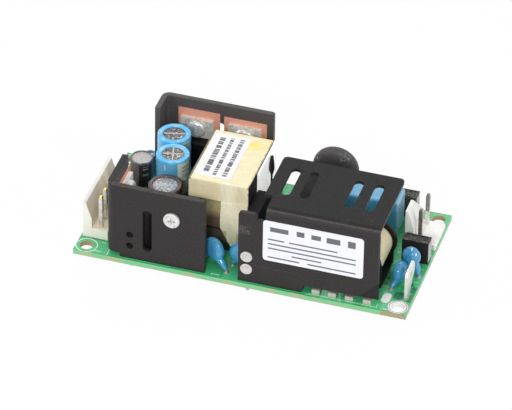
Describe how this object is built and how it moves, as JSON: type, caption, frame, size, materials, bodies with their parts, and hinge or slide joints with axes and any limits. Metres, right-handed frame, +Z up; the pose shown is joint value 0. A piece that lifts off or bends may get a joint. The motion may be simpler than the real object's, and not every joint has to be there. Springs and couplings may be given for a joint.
{
  "type": "power supply board",
  "caption": "Open-frame mains power supply: green circuit board with bent black heatsinks, a slotted cover, a taped transformer, capacitors and connectors.",
  "frame": {"origin": "centre of the four mounting holes, on the underside of the board", "axes": "+X along the board to the mains input end, +Y away from the labelled front, +Z up out of the board"},
  "size_m": [0.1016, 0.0508, 0.0312],
  "materials": {
    "board_laminate": "green glass-epoxy with a glossy solder mask",
    "solder": "bright tin",
    "black_sheet": "black anodised aluminium sheet, satin",
    "black_film": "thin black insulating film",
    "label_paper": "white label, plain",
    "pale_rivet": "matt aluminium",
    "tinned_metal": "tinned",
    "pink_pad": "pink insulating pad",
    "black_epoxy": "moulded black epoxy",
    "plated_tab": "tin-plated copper",
    "zinc_screw": "zinc-plated steel",
    "ferrite": "dark grey ferrite",
    "black_former": "black moulded plastic",
    "winding_tape": "taped winding",
    "cream_tape": "cream polyester tape",
    "blue_sleeve": "bright blue shrink sleeve",
    "brown_sleeve": "brown shrink sleeve",
    "black_sleeve": "black shrink sleeve",
    "can_metal": "bare aluminium",
    "blue_case": "blue moulded case",
    "dark_coat": "dark coating",
    "blue_coat": "glossy blue dipped coating",
    "cream_coil": "cream tape over a coil",
    "fuse_case": "black moulded case",
    "ivory_nylon": "ivory nylon",
    "white_nylon": "white nylon",
    "gold_pin": "gold-tipped pin",
    "chip_body": "tan ceramic",
    "white_mould": "white moulded epoxy"
  },
  "bodies": {
    "root": {"board": "board_laminate", "solder_joints": "solder", "left_heatsink": "black_sheet", "back_heatsink": "black_sheet", "shroud": "black_sheet", "shroud_insulator": "black_film", "shroud_label": "label_paper", "shroud_rivets": "pale_rivet", "heatsink_pins": "tinned_metal", "back_pad_left": "pink_pad", "back_pad_right": "pink_pad", "left_wall_pad": "pink_pad", "front_wall_pad": "pink_pad", "shroud_pad": "pink_pad", "rectifier_left_body": "black_epoxy", "rectifier_left_tab": "plated_tab", "rectifier_right_body": "black_epoxy", "rectifier_right_tab": "plated_tab", "wall_diode_body": "black_epoxy", "wall_diode_tab": "plated_tab", "regulator_body": "black_epoxy", "regulator_tab": "plated_tab", "switch_body": "black_epoxy", "switch_tab": "plated_tab", "device_screws": "zinc_screw", "regulator_nut": "zinc_screw", "transformer_core": "ferrite", "transformer_bobbin": "black_former", "transformer_winding": "winding_tape", "transformer_tape": "cream_tape", "transformer_label": "label_paper", "transformer_pins": "tinned_metal", "back_blue_capacitor": "blue_sleeve", "front_blue_capacitor": "blue_sleeve", "brown_capacitor": "brown_sleeve", "black_capacitor": "black_sleeve", "small_blue_capacitor": "blue_sleeve", "bulk_capacitor": "black_sleeve", "capacitor_cans": "can_metal", "film_capacitor": "blue_case", "side_barrier": "white_mould", "flying_lead": "black_sleeve", "output_choke": "black_sleeve", "thermistor": "dark_coat", "bridge_rectifier": "black_epoxy", "choke_core": "ferrite", "choke_bobbin": "black_former", "choke_coil": "cream_coil", "front_fuse": "fuse_case", "back_fuse": "fuse_case", "output_header": "ivory_nylon", "output_pins": "gold_pin", "input_header": "white_nylon", "input_pins": "tinned_metal", "left_disc_capacitors": "blue_coat", "line_disc_capacitors": "blue_coat", "earth_blade": "tinned_metal", "chip_capacitors": "chip_body", "chip_ends": "tinned_metal", "optocoupler": "white_mould", "control_chip": "black_epoxy", "component_leads": "tinned_metal"}
  },
  "joints": []
}
